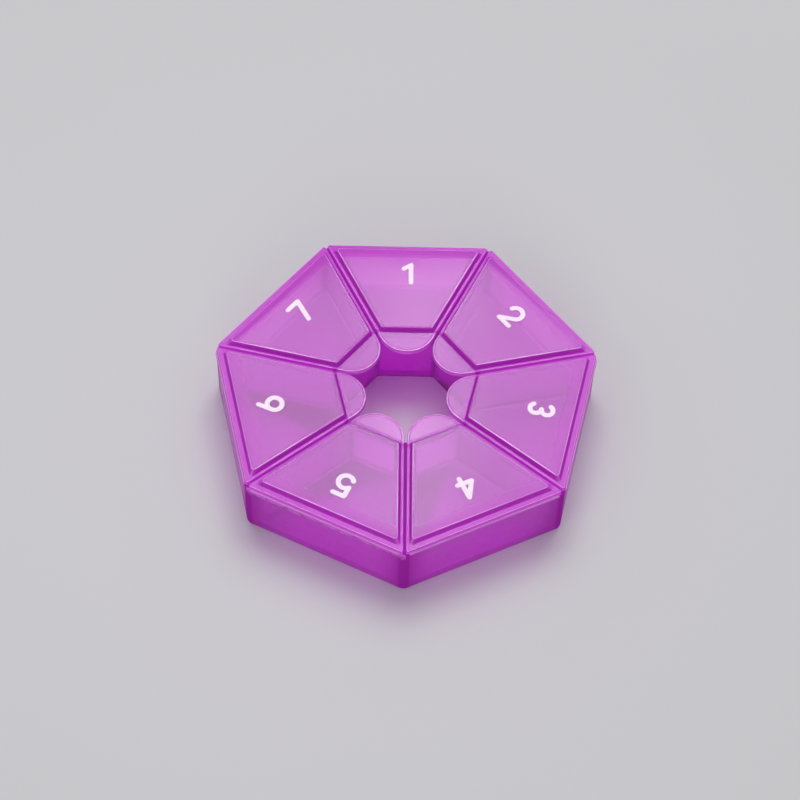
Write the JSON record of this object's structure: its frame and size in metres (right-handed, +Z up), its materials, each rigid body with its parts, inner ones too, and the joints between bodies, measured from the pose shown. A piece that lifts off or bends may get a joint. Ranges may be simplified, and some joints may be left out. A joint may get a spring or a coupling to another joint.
{
  "type": "pill organizer",
  "caption": "Flat ring-shaped pill organizer in clear purple plastic, with a hinged lid and thumb tab on each compartment and a number on each lid.",
  "frame": {"origin": "on the table, under the middle of the outline's box. The middle of the ring stands 2.10 mm from it along +Y, because a seven-sided outline reaches further at a corner than at a face", "axes": "+Z up, +Y from the middle of the ring to the outer face of lid 1, +X to the right as seen from the front, where lids 4 and 5 are"},
  "size_m": [0.0936, 0.0914, 0.0178],
  "materials": {
    "tray_plastic": "clear purple polypropylene, smooth",
    "hinge_plastic": "purple polypropylene, whitened where it folds",
    "lid_plastic": "clear purple polypropylene, smooth",
    "white_print": "white pad print"
  },
  "bodies": {
    "tray": {"tray": "tray_plastic", "hinge_web_1": "hinge_plastic", "hinge_web_2": "hinge_plastic", "hinge_web_3": "hinge_plastic", "hinge_web_4": "hinge_plastic", "hinge_web_5": "hinge_plastic", "hinge_web_6": "hinge_plastic", "hinge_web_7": "hinge_plastic"},
    "lid_1": {"lid_1": "lid_plastic", "number_1": "white_print"},
    "lid_2": {"lid_2": "lid_plastic", "number_2": "white_print"},
    "lid_3": {"lid_3": "lid_plastic", "number_3": "white_print"},
    "lid_4": {"lid_4": "lid_plastic", "number_4": "white_print"},
    "lid_5": {"lid_5": "lid_plastic", "number_5": "white_print"},
    "lid_6": {"lid_6": "lid_plastic", "number_6": "white_print"},
    "lid_7": {"lid_7": "lid_plastic", "number_7": "white_print"}
  },
  "joints": [
    {"name": "lid_1_hinge", "type": "hinge", "parent": "tray", "child": "lid_1", "pos_m": [0, 0.04535, 0.0152], "axis": [-1, 0, 0], "range_deg": [0, 180]},
    {"name": "lid_2_hinge", "type": "hinge", "parent": "tray", "child": "lid_2", "pos_m": [0.03381, 0.02906, 0.0152], "axis": [-0.6235, 0.7818, 0], "range_deg": [0, 180]},
    {"name": "lid_3_hinge", "type": "hinge", "parent": "tray", "child": "lid_3", "pos_m": [0.04217, -0.00753, 0.0152], "axis": [0.2225, 0.9749, 0], "range_deg": [0, 180]},
    {"name": "lid_4_hinge", "type": "hinge", "parent": "tray", "child": "lid_4", "pos_m": [0.01877, -0.03687, 0.0152], "axis": [0.901, 0.4339, 0], "range_deg": [0, 180]},
    {"name": "lid_5_hinge", "type": "hinge", "parent": "tray", "child": "lid_5", "pos_m": [-0.01877, -0.03687, 0.0152], "axis": [0.901, -0.4339, 0], "range_deg": [0, 180]},
    {"name": "lid_6_hinge", "type": "hinge", "parent": "tray", "child": "lid_6", "pos_m": [-0.04217, -0.00753, 0.0152], "axis": [0.2225, -0.9749, 0], "range_deg": [0, 180]},
    {"name": "lid_7_hinge", "type": "hinge", "parent": "tray", "child": "lid_7", "pos_m": [-0.03381, 0.02906, 0.0152], "axis": [-0.6235, -0.7818, 0], "range_deg": [0, 180]}
  ]
}
